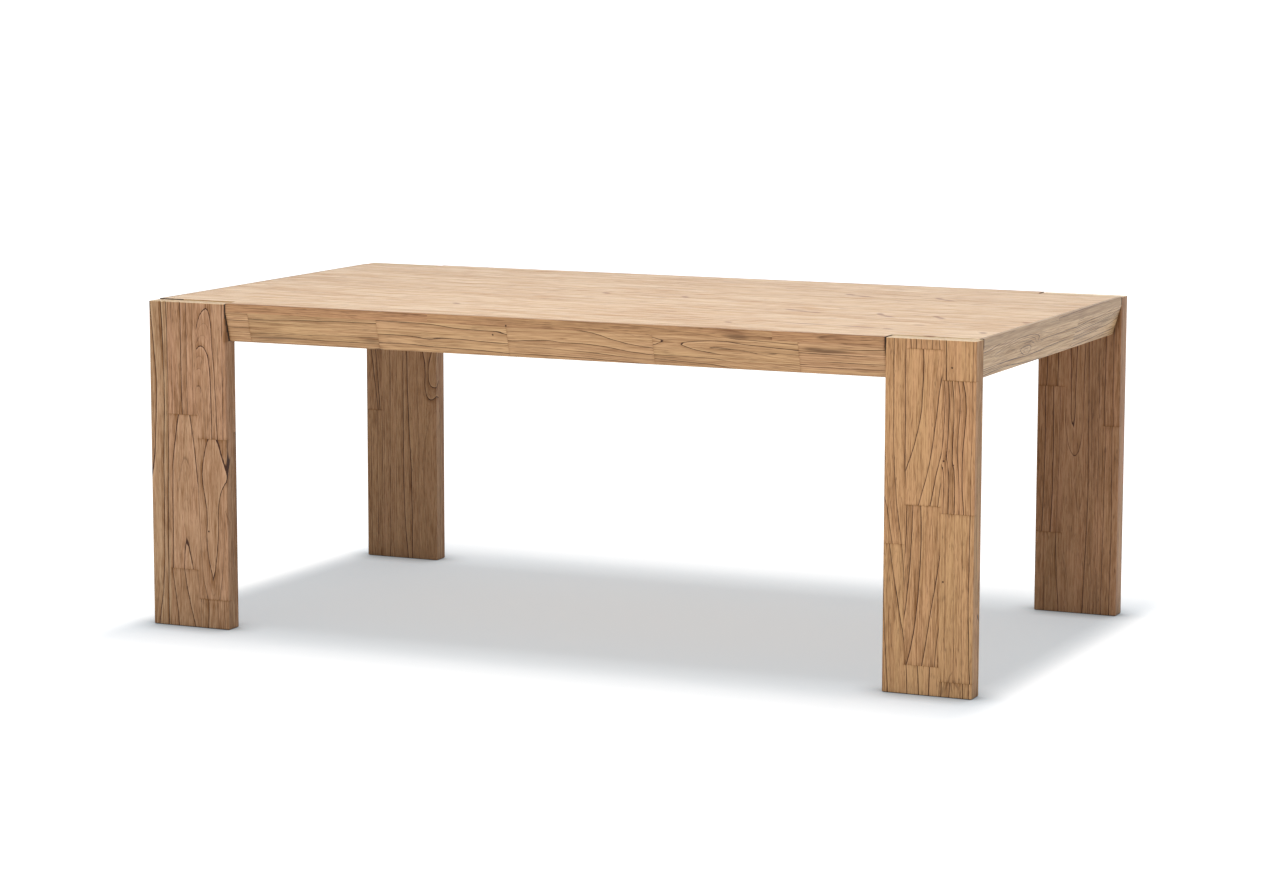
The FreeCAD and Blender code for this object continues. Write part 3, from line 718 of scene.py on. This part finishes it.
front_right_staves = [
    (0, 48, 319, 760, 0, 0.1, [
        (1, 0.5, [(-9, 480), (0, 420), (8, 395), (14, 360), (20, 322)]),
        (2, 0.5, [(19, 755), (20, 650), (20, 550), (22, 480), (28, 410), (34, 370), (40, 322)]),
        (3, 0.7, [(45, 755), (45, 700), (46, 600), (46, 480), (50, 420), (56, 340)])]),
    (0, 48, 0, 319, -0.03, -0.2, [
        (0, 0.5, [(-2, 319), (2, 200), (5, 130), (9, 60), (13, 0)]),
        (1, 0.75, [(14, 319), (20, 275), (28, 230), (34, 195), (40, 160), (45, 138), (50, 100),
            (54, 0)]), (2, 0.5, [(41, 319), (44, 290), (46, 262), (49, 220), (60, 140)])]),
    (48, 126, 404, 733, 0.06, 0.1, [
        (1, 0.9, [(84, 733), (86, 705), (86, 680), (84, 640), (82, 605), (78, 580), (72, 555),
            (66, 530), (58, 505), (52, 490), (46, 470), (38, 440)]),
        (2, 0.8, [(131, 710), (124, 665), (120, 640), (115, 600), (110, 560), (105, 520),
            (98, 480), (90, 450), (82, 420), (77, 404)]),
        (3, 0.75, [(128, 525), (122, 497), (115, 470), (108, 430), (103, 404)]),
        (4, 0.5, [(132, 490), (127, 460), (123, 430), (120, 404)])]),
    (48, 126, 733, 760, 0.02, 0.3, [
        (1, 0.5, [(56, 757), (57, 733)]), (2, 0.6, [(68, 757), (69, 733)]),
        (3, 0.5, [(79, 757), (80, 733)]), (4, 0.4, [(92, 757), (93, 733)]),
        (5, 0.6, [(104, 757), (104, 733)]), (6, 0.5, [(119, 757), (120, 733)])]),
    (126, 200, 670, 760, 0, 0.1, [
        (1, 0.7, [(134, 757), (136, 710), (136, 670)]), (2, 0.15, [(155, 757), (156, 670)]),
        (3, 0.2, [(176, 757), (177, 670)]), (4, 0.4, [(194, 757), (194, 670)])]),
    (126, 200, 390, 670, -0.03, 0.5, [
        (1, 0.6, [(131, 670), (133, 640), (133, 600), (131, 560), (128, 520), (123, 503),
            (129, 488), (133, 465), (133, 430), (132, 390)]),
        (2, 0.8, [(139, 670), (142, 640), (142, 600), (141, 560), (139, 525), (136, 507),
            (141, 495), (144, 470), (144, 430), (143, 390)]),
        (3, 0.8, [(149, 670), (152, 630), (153, 580), (151, 540), (150, 505), (155, 480),
            (157, 440), (156, 390)]),
        (4, 0.5, [(162, 670), (166, 640), (166, 600), (163, 560), (161, 520), (164, 480),
            (166, 440), (167, 390)]),
        (5, 0.9, [(172, 670), (178, 640), (180, 610), (177, 570), (173, 520), (172, 480),
            (173, 440), (176, 410), (177, 390)]),
        (6, 0.3, [(192, 670), (194, 600), (192, 500), (192, 390)])]),
    (48, 126, 63, 404, -0.06, 0.3, [
        (0, 0.5, [(52, 404), (51, 350), (49, 300), (46, 240), (40, 180)]),
        (1, 0.7, [(65, 404), (64, 350), (62, 310), (60, 270), (57, 240), (52, 190), (46, 145),
            (38, 90)]),
        (2, 0.95, [(82, 404), (84, 370), (85, 330), (84, 290), (82, 250), (79, 210), (75, 175),
            (69, 130), (63, 95), (57, 72), (54, 63)]),
        (3, 0.8, [(134, 350), (127, 305), (122, 270), (116, 230), (111, 200), (105, 165),
            (100, 130), (95, 100), (91, 75), (89, 63)]),
        (4, 0.4, [(134, 200), (130, 170), (125, 140), (120, 100), (117, 63)])]),
    (48, 126, 0, 63, 0.32, -0.3, [
        (1, 0.8, [(54, 63), (56, 30), (57, 0)]), (2, 1, [(79, 63), (82, 30), (83, 0)]),
        (3, 0.8, [(107, 63), (106, 30), (105, 0)])]),
    (126, 200, 33, 390, 0.05, -0.2, [
        (1, 0.15, [(138, 390), (138, 200), (140, 33)]),
        (2, 0.2, [(158, 390), (158, 200), (160, 33)]),
        (3, 0.2, [(176, 390), (176, 200), (178, 33)]),
        (4, 0.7, [(191, 390), (190, 200), (193, 80), (196, 33)])]),
    (126, 172, 0, 33, 0, -0.2, [
        (1, 0.5, [(134, 33), (133, 0)]), (2, 0.5, [(152, 33), (150, 0)])]),
    (172, 200, 0, 33, 0.1, -0.2, [
        (1, 0.5, [(180, 33), (181, 0)]), (2, 0.5, [(193, 33), (194, 0)])]),
]

back_left_staves = [
    (0, 45, 380, 760, -0.14, 0.1, [
        (1, 0.9, [(4, 600), (15, 530), (22, 470), (28, 430), (33, 385)]),
        (2, 1, [(18, 600), (27, 530), (32, 480), (36, 430), (39, 385)])]),
    (0, 45, 0, 380, -0.04, -0.2, [
        (1, 0.2, [(12, 380), (12, 200), (14, 0)]), (2, 0.2, [(30, 380), (30, 200), (32, 0)]),
        (3, 0.4, [(44, 380), (45, 200), (47, 0)])]),
    (45, 200, 0, 760, 0, 0, [
        (0, 0.3, [(50, 400), (50, 0)]), (1, 0.4, [(68, 700), (68, 400), (66, 0)]),
        (2, 0.2, [(86, 700), (86, 400), (84, 0)]),
        (3, 1, [(107, 700), (107, 535), (106, 400), (106, 300), (106, 200), (108, 120), (112, 60),
            (118, 0)]),
        (4, 1.2, [(118, 700), (118, 535), (118, 450), (120, 390), (123, 330), (127, 260),
            (129, 200), (130, 120), (129, 60), (131, 0)]),
        (5, 0.25, [(146, 700), (146, 535), (147, 400), (150, 300), (150, 200), (149, 0)]),
        (6, 1.5, [(160, 560), (164, 530), (169, 505), (170, 480), (169, 450), (173, 425),
            (182, 414), (192, 416), (202, 425)]),
        (7, 1.4, [(192, 560), (187, 530), (181, 512), (178, 490), (178, 470), (183, 452),
            (192, 446), (202, 447)])]),
]

back_right_staves = [
    (0, 65, 538, 760, -0.12, 0, [
        (1, 0.8, [(24, 660), (23, 600), (22, 538)]), (2, 0.8, [(51, 660), (50, 600), (49, 538)])]),
    (0, 65, 190, 538, -0.06, 0.2, [
        (1, 0.7, [(19, 538), (21, 400), (19, 300), (16, 190)]),
        (2, 1, [(40, 538), (41, 400), (41, 300), (37, 190)]),
        (3, 0.3, [(56, 538), (56, 400), (52, 190)])]),
    (0, 65, 0, 190, -0.02, -0.4, [
        (1, 0.2, [(22, 190), (24, 0)]),
        (2, 0.6, [(51, 190), (52, 140), (54, 80), (58, 40), (60, 0)]),
        (3, 0.3, [(70, 190), (74, 0)])]),
    (65, 160, 0, 760, 0.06, 0, [
        (0.5, 0, [(87, 660), (87, 520), (87, 475)]),
        (1, 0.8, [(78, 660), (80, 600), (82, 520), (82, 480), (84, 455), (90, 440), (92, 470),
            (93, 520), (96, 660)]),
        (2, 0.4, [(70, 440), (74, 410), (82, 385), (93, 372), (103, 385), (108, 410), (112, 440),
            (114, 540), (116, 660)]),
        (3, 0.7, [(124, 660), (126, 500), (127, 400), (128, 300), (126, 200), (122, 100),
            (118, 0)]),
        (4, 0.25, [(132, 660), (134, 500), (135, 400), (136, 300), (137, 200), (138, 100),
            (138, 0)]), (5, 0.15, [(141, 660), (142, 500), (143, 300), (146, 200), (147, 0)]),
        (6, 0.3, [(150, 660), (151, 500), (152, 300), (154, 0)])]),
    (160, 200, 450, 760, -0.07, 0.2, [
        (1, 0.7, [(165, 660), (164, 500), (166, 450)]),
        (2, 0.5, [(184, 660), (184, 540), (186, 450)])]),
    (160, 200, 0, 450, 0.01, 0, [
        (1, 0.4, [(168, 450), (166, 200), (164, 0)]),
        (2, 0.5, [(184, 450), (186, 200), (184, 0)])]),
]
# Darker patches, as (darkness, half width, line): patches of wood, and two bands of painted shade,
# on the front left leg beside the front apron, and on the back right one under the end apron's
# leaning face.
front_left_stains_and_shade = [
    (0.08, 14, [(104, 720), (102, 660)]), (0.1, 14, [(163, 385), (162, 330)]),
    (0.06, 30, [(160, 5), (160, 60)]), (0.35, 3, [(200, 667), (200, 753)])]
shaded_by_the_end_apron = [(0.25, 14, [(186, 672), (196, 735)])]
front_right_stains = [(0.12, 9, [(158, 52), (163, 30), (175, 22)])]
leg_columns = [45, 124]  # joints across the staves that aren't drawn
leg_pitch = 5  # between cuts across a leg's face


def leg(name, side, front, height, seed, drawn, side_painted_light, stains_and_shade=(), tone_and_painted_shade=0.0):
    """A slab with its staves drawn on the front face. A thin dark glue line marks each stave's end.

    The side tone shifts the staves that aren't drawn paler or darker: painted light and shade for
    the narrow sides. The tone shift moves the whole leg's tone, which is partly painted shade.
    """
    left = -half_length if side < 0 else half_length - leg_width
    low_y, high_y = (-half_width, -leg_back) if front else (leg_back, half_width)
    slab = block("brushed_" + name, (left, low_y, glide_below_foot),
                 (left + leg_width, high_y, height))
    ease_edges(slab, [(foot_arris, lambda at: at.z < glide_below_foot + 1),
                      (leg_arris, lambda at: True)])
    saw(slab, "x", [*range(left + leg_pitch, left + leg_width, leg_pitch),
                    *sorted({left + row[0] for row in drawn} - {left})])
    joints = sorted({row[2] for row in drawn} - {0})
    saw(slab, "z", [*range(saw_pitch, leg_top - 1, saw_pitch), *round_joints(joints), apron_under])
    saw(slab, "y", [*range(low_y + fine_pitch, low_y + stock_thickness, fine_pitch),
                    *(low_y + part * stock_thickness / laminations for part in (1, 2))])
    glue_lines = [(0.45, glue_line, [(row[0] + 1, row[2]), (row[1] - 1, row[2])])
                  for row in drawn if row[2]]
    rest = random_staves(seed, leg_columns, laminations, (250, 450),
                         first_number=400 + 100 * seed, contrast=0.1, middle=side_painted_light)
    staves = drawn_staves(drawn, rest, first_number=1000 + 100 * seed)
    rule_grain(slab, lambda x, y, z: (x - left, y - low_y, z), staves, [*stains_and_shade, *glue_lines],
               tone_and_painted_shade)

    def in_the_gap(at, normal):
        """Painted shade: beside the board and behind the apron's leaning face, give or take 3 mm.
        """
        if (normal.y if front else -normal.y) > 0.2 and at.z > panel_under:
            return True
        behind = up_the_face(at.z, half_width - abs(at.y))[1]
        return side * normal.x < -0.2 and at.z > apron_under and behind > -3

    # Upward faces take the painted highlight, and faces in the shadow gaps painted shade.
    finish_piece(slab, name, "leg_wood", leg_timbers[name],
                 (leg_top_highlight_timber, lambda at, normal: normal.z > 0.3), (gap_painted_shade, in_the_gap))


# The side tones and tone shifts below are partly painted light and shade: the back right leg's
# narrow side is paler, the back left one's darker, and the front left and back right legs darker.
leg("leg_front_left", -1, True, leg_top - 1, 1, front_left_staves, -0.08, front_left_stains_and_shade, -0.12)
leg("leg_front_right", 1, True, leg_top, 2, front_right_staves, -0.1, front_right_stains)
leg("leg_back_left", -1, False, leg_top, 3, back_left_staves, -0.2, tone_and_painted_shade=-0.03)
leg("leg_back_right", 1, False, leg_top, 4, back_right_staves, 0.3, shaded_by_the_end_apron, -0.1)

# ---- Bolts, washers, inserts and screws ---------------------------------------------------------
# Four M8 bolts hold each leg to its rail, each through a flat and a split washer into a threaded
# insert. Wood screws hold the top, the long aprons and the corner blocks. All are standard parts.


def small_part(name, dull, bright, metallic, rough, cell, ior=1.5):
    """A finish that is mottled in cells of some millimetres, with a slightly uneven surface."""
    material, add = empty_material(name)
    place = add("TexCoord").outputs["Object"]
    mottle = add("TexNoise", {"Vector": place, "Scale": 1000 / cell, "Detail": 3.0}).outputs[0]
    contrast = add("MapRange", {0: mottle, 1: 0.35, 2: 0.65, 3: 0.0, 4: 1.0})
    colour = add("Mix", {0: contrast, 6: linear(dull), 7: linear(bright)}, data_type="RGBA")
    roughness = add("MapRange", {0: mottle, 1: 0.3, 2: 0.7, 3: rough + 0.08, 4: rough - 0.05})
    uneven = add("Bump", {"Height": mottle, "Strength": 0.2, "Distance": 0.0002})
    surface = add("BsdfPrincipled", {
        "Base Color": colour.outputs[2], "Metallic": metallic, "Roughness": roughness, "IOR": ior,
        "Normal": uneven})
    add("OutputMaterial", {"Surface": surface})
    return material


# Bright zinc plate has a faint spangle, drawn at 1.5 mm so that it shows. Turned brass is smoother.
dress(small_part("bright_zinc_plated_steel", "#A9AEB4", "#C9CCCD", 1.0, 0.32, 1.5),
      "leg_bolts", "leg_bolt_washers", "leg_bolt_spring_washers",
      "panel_screws", "apron_screws", "corner_block_screws")
dress(small_part("turned_brass", "#B8914C", "#CFAC66", 1.0, 0.3, 1.0), "leg_threaded_inserts")

# ---- Tabletop panel -----------------------------------------------------------------------------
# A 20 mm board with a brushed veneer on both faces, laid in leaves 372 mm wide that repeat the same
# figure. It is notched at the corners for the legs and screwed down from below.

notch_x, notch_y = long_apron_half, end_apron_half  # the notches' walls, in line with the aprons
lipping_depth = 10
top_face = 755
leaf_width = 372
leaf_start = 170 - leaf_width  # the first joint lies 170 mm from the front edge
# Veneer is sliced thin and pale, with long fine grain and little contrast. Its few dark flecks lie
# along lines drawn as (across, along) in millimetres from the front edge and the left end.
fleck_lines = [
    [(435, 1400), (415, 1430), (400, 1470), (390, 1500)], [(440, 1620), (400, 1640), (370, 1680)],
    [(430, 1755), (415, 1765), (385, 1790)], [(392, 1974), (378, 1984)],
    [(815, 1395), (790, 1430), (770, 1480)], [(815, 1620), (785, 1645), (765, 1680)],
    [(165, 1500), (165, 1620), (150, 1740), (140, 1760)], [(605, 870), (585, 890)],
    [(600, 1075), (575, 1095)], [(240, 665), (225, 680)], [(130, 1385), (120, 1395)],
    [(245, 1775), (245, 1795)], [(165, 1955), (145, 1965)], [(50, 1868), (50, 1890)]]
# Each stretch of a line is a long spot, 22 mm wide, that runs 10 mm past both ends of the stretch.
flecks = [
    (((a0 + a1) / 2 - half_length, (u0 + u1) / 2 - half_width, top_face),
     (math.hypot(a1 - a0, u1 - u0) / 2 + 10, 11, 3), 0.85,
     0, 0, math.degrees(math.atan2(u1 - u0, a1 - a0)))
    for line in fleck_lines for (u0, a0), (u1, a1) in zip(line, line[1:])]
veneer = timber(
    "brushed_veneer", "#CFB08A", "#CCAF88", "#A87234", "#7A4212", streak=1.5, breadth=1.9,
    reach=2.2, cloudy=0.1, banded=0.8, shine=0.5, marks=flecks)

panel = block("veneered_tabletop_panel", (-notch_x, lipping_depth - half_width, panel_under),
              (notch_x, half_width - lipping_depth, top_face))
saw(panel, "y", [-notch_y, notch_y])
for side in (-1, 1):
    pick(panel, "polygons", lambda at: abs(at.x - side * notch_x) < 1 and abs(at.y) < notch_y)
    reach = side * (half_length - lipping_depth - notch_x) / 1000
    bpy.ops.mesh.extrude_region_move(TRANSFORM_OT_translate={"value": (reach, 0, 0)})
    bpy.ops.object.mode_set(mode="OBJECT")
leaf_edges = [leaf_start + leaf_width * number - half_width for number in (1, 2, 3)]
board_pitch = 12
saw(panel, "y", [*steps(half_width - lipping_depth, saw_pitch), *leaf_edges])
saw(panel, "x", [*steps(half_length - lipping_depth, board_pitch),
                 leg_reveal - notch_x, notch_x - leg_reveal])
# Painted shade covers the notches' long walls below this edge only, but up to the top at the
# table's left end.
crisp_edge = top_face - 3
fully_shaded_end = -930
saw(panel, "z", [crisp_edge])


def leaf_of(across, depth, along):
    """The same rings repeat in every leaf. Only the tone and the fine grain differ."""
    number = int((across - leaf_start) // leaf_width)
    pith = leaf_start + number * leaf_width + 560, 60
    field, strength_at = log_rings(
        pith, spacing=24, lean=-9.0, bow=0.35, middle=1300, phase=0.3, seed=7)
    face_tones = (0.0, 0.01, -0.01, 0.0)
    lower_veneer = depth > (top_face - panel_under) / 2
    return (300 + number + 10 * lower_veneer, face_tones[number], 0.0,
            (field, lambda *place: 0.6 * strength_at(*place)))


rule_grain(panel, lambda x, y, z: (y + half_width, top_face - z, x + half_length), leaf_of)
# The panel's upright faces in the notches and under the lippings are painted shade.
finish_piece(panel, "tabletop_panel", "tabletop_wood", veneer,
             (gap_painted_shade, lambda at, normal: abs(normal.z) < 0.5 and (
                 at.z < crisp_edge or at.x < fully_shaded_end or abs(normal.x) > end_on)))

# ---- Lippings -----------------------------------------------------------------------------------
# Strips of solid wood, 10 mm thick, glued round the board's edges. Their outer upper edge is sanded
# to a small round, and their ends stop at the legs with a shadow gap.

lipping_arris = 1
# Quartered strips: a pinker brown than the aprons, with short flecks instead of ring lines.
lipping_timber = timber(
    "brushed_lipping_wood", "#AD815E", "#A7835C", "#65412A", "#3E271A",
    line=0.6, streak=1.1, reach=1.6, banded=0.3, cloudy=0.2,
    marks=[((-85.5, -535, 737), *pinhole), ((462, -535, 739), (40, 6, 6), 0.55)])
# The end lippings are coloured paler and greyer than the long ones: partly painted light, for the
# right end's face.
end_lipping_timber_with_painted_light = timber(
    "lipping_wood_of_the_ends_with_painted_light", "#AF8A68", "#A88D66", "#76543A", "#48301F",
    line=0.5, reach=2.5, shine=0.4)
front_lipping_stains = [(0.12, 16, [(4, 1245), (4, 1275)])]


def lipping(name, across, side, seed, half, material, stains_and_shade=()):
    """A strip of long staves on an edge of the board."""
    along = 1 - across
    outer, strip = edge_board(name, across, side, lipping_depth, half, panel_under, top_face)
    ease_edges(strip, [(lipping_arris, lambda at: (
        at.z > top_face - 1 and abs(at[across] - outer) < 1))])
    saw_board(strip, along, half, panel_under, top_face)
    rule_grain(
        strip, lambda *at: (at[2] - panel_under, side * (outer - at[across]), at[along] + half),
        random_staves(seed, [], 1, (450, 900), 500 + seed, contrast=0.02), [*stains_and_shade, *gap_shade_at_ends(half)])
    # The strip's ends, in the shadow gaps, are painted shade.
    finish_piece(strip, name, "lipping_wood", material,
                 (gap_painted_shade, lambda at, normal: abs(normal[along]) > end_on))


lipping("front_lipping", 1, -1, 51, notch_x, lipping_timber, front_lipping_stains)
lipping("back_lipping", 1, 1, 52, notch_x, lipping_timber)
lipping("right_end_lipping", 0, 1, 53, notch_y, end_lipping_timber_with_painted_light)
lipping("left_end_lipping", 0, -1, 54, notch_y, end_lipping_timber_with_painted_light)

# ---- Foot glides --------------------------------------------------------------------------------
# Two brown nylon discs under each leg, let into its end grain and nailed. They stand 1 mm proud, so
# the wood never touches the floor.

dress(small_part("moulded_brown_nylon", "#42342A", "#54443A", 0.0, 0.5, 2.0, ior=1.53),
      "foot_glides")

# ---- Floor, lights and camera -------------------------------------------------------------------
# A white studio floor that glows away from the table, so that it stays white there. The glow is
# painted light, and its dim part round the table and the darkening at the feet are painted shadow.
# One softbox lights the floor alone, and three more, overhead, in front and on the right, the
# table.

glow_reach = (0.16, 0.5)  # metres past the table's outline to the full glow, along and across

bpy.ops.object.select_all(action="DESELECT")
bpy.ops.mesh.primitive_plane_add(size=1000, location=(0, 0, 0))
floor = bpy.context.object
floor.name = "studio_floor"
paint, add = empty_material("glowing_floor_with_painted_shade")
size = (1 / glow_reach[0], 1 / glow_reach[1], 0)
start = (-half_length / 1000 * size[0], -half_width / 1000 * size[1], 0)
across = add("VectorMath", {0: add("TexCoord").outputs["Object"]}, operation="ABSOLUTE")
past = add("VectorMath", {0: across, 1: size, 2: start}, operation="MULTIPLY_ADD")
past = add("VectorMath", {0: past, 1: (0, 0, 0)}, operation="MAXIMUM")
far = add("VectorMath", {0: past}, operation="LENGTH").outputs["Value"]
outwards = add("MapRange", {0: far, 1: 0, 2: 1, 3: 0, 4: 1}, interpolation_type="SMOOTHSTEP")
# Painted shadow: the glow is dim and blue-grey inside the table's outline, and ramps up to white
# past it.
glow = add("Mix", {0: outwards, 6: linear("#95A0A8"), 7: linear("#EAEAEA")}, data_type="RGBA")
# Painted contact shade: ambient occlusion darkens the floor's colour and dims its glow at the feet.
contact = add("AmbientOcclusion", {"Distance": 0.075}).outputs["AO"]
shade = add("Mix", {0: contact, 6: linear("#616161"), 7: linear("#E7E7E7")}, data_type="RGBA")
surface = add("BsdfPrincipled", {
    "Base Color": shade.outputs[2], "Roughness": 0.9, "Emission Color": glow.outputs[2],
    "Emission Strength": contact, "Specular IOR Level": 0.0})
add("OutputMaterial", {"Surface": surface})
floor.data.materials.append(paint)


def soft_light(name, place, target, size, watts, floor_only=False):
    """A softbox that lights only the floor, or else everything but the floor."""
    lamp = bpy.data.lights.new(name, "AREA")
    lamp.shape = "RECTANGLE"
    lamp.size, lamp.size_y = size
    lamp.energy = watts
    holder = bpy.data.objects.new(name, lamp)
    bpy.context.scene.collection.objects.link(holder)
    holder.location = place
    holder.rotation_euler = (Vector(target) - Vector(place)).to_track_quat("-Z", "Y").to_euler()
    lit = bpy.data.collections.new("lit_by_the_" + name)
    lit.objects.link(floor)
    holder.light_linking.receiver_collection = lit
    lit.collection_objects[0].light_linking.link_state = "INCLUDE" if floor_only else "EXCLUDE"


soft_light("floor_softbox", (0, 0, 40), (0, 0, 0), (4.5, 12), 4300, floor_only=True)
soft_light("overhead_softbox", (0, 0, 3.95), (0, 0, 0), (1.3, 1.3), 50)
soft_light("front_softbox", (0.6, -5, 5.5), (0, 0, 0.4), (3, 2), 352)
soft_light("right_softbox", (5, -0.6, 4.2), (0.6, 0, 0.4), (2, 2), 8)

# The studio's walls are brightest low down behind the table, and dim overhead.
world = bpy.data.worlds.new("white_studio")
bpy.context.scene.world = world
world.use_nodes = True
world.node_tree.nodes.clear()
add = partial(add_node, world.node_tree)
way = add("TexCoord").outputs["Generated"]
upward = add("SeparateXYZ", {0: way}).outputs["Z"]
behind = add("VectorMath", {0: way, 1: (-0.2, 0.98, 0)}, operation="DOT_PRODUCT")
backdrop = add("MapRange", {0: behind.outputs["Value"], 1: 0.5, 2: 1.1, 3: 0.6, 4: 2.1},
               interpolation_type="SMOOTHSTEP")
wall = add("MapRange", {0: upward, 1: 0.25, 2: 0.45, 3: backdrop, 4: 0.3},
           interpolation_type="SMOOTHSTEP")
sky = add("Background", {"Color": linear("#FFFFFF"), "Strength": wall})
add("OutputWorld", {"Surface": sky})

eye = bpy.data.cameras.new("camera")
eye.lens = 99.39
eye.sensor_width = 36
camera = bpy.data.objects.new("camera", eye)
bpy.context.scene.collection.objects.link(camera)
camera.location = (3.3648, -7.4084, 1.5638)
swing, tip, roll = (Matrix.Rotation(math.radians(angle), 4, axis) for angle, axis in (
    (24.472, "Z"), (90 - 8.005, "X"), (0.097, "Z")))
camera.rotation_euler = (swing @ tip @ roll).to_euler()
bpy.context.scene.camera = camera
bpy.context.scene.view_settings.view_transform = "Standard"
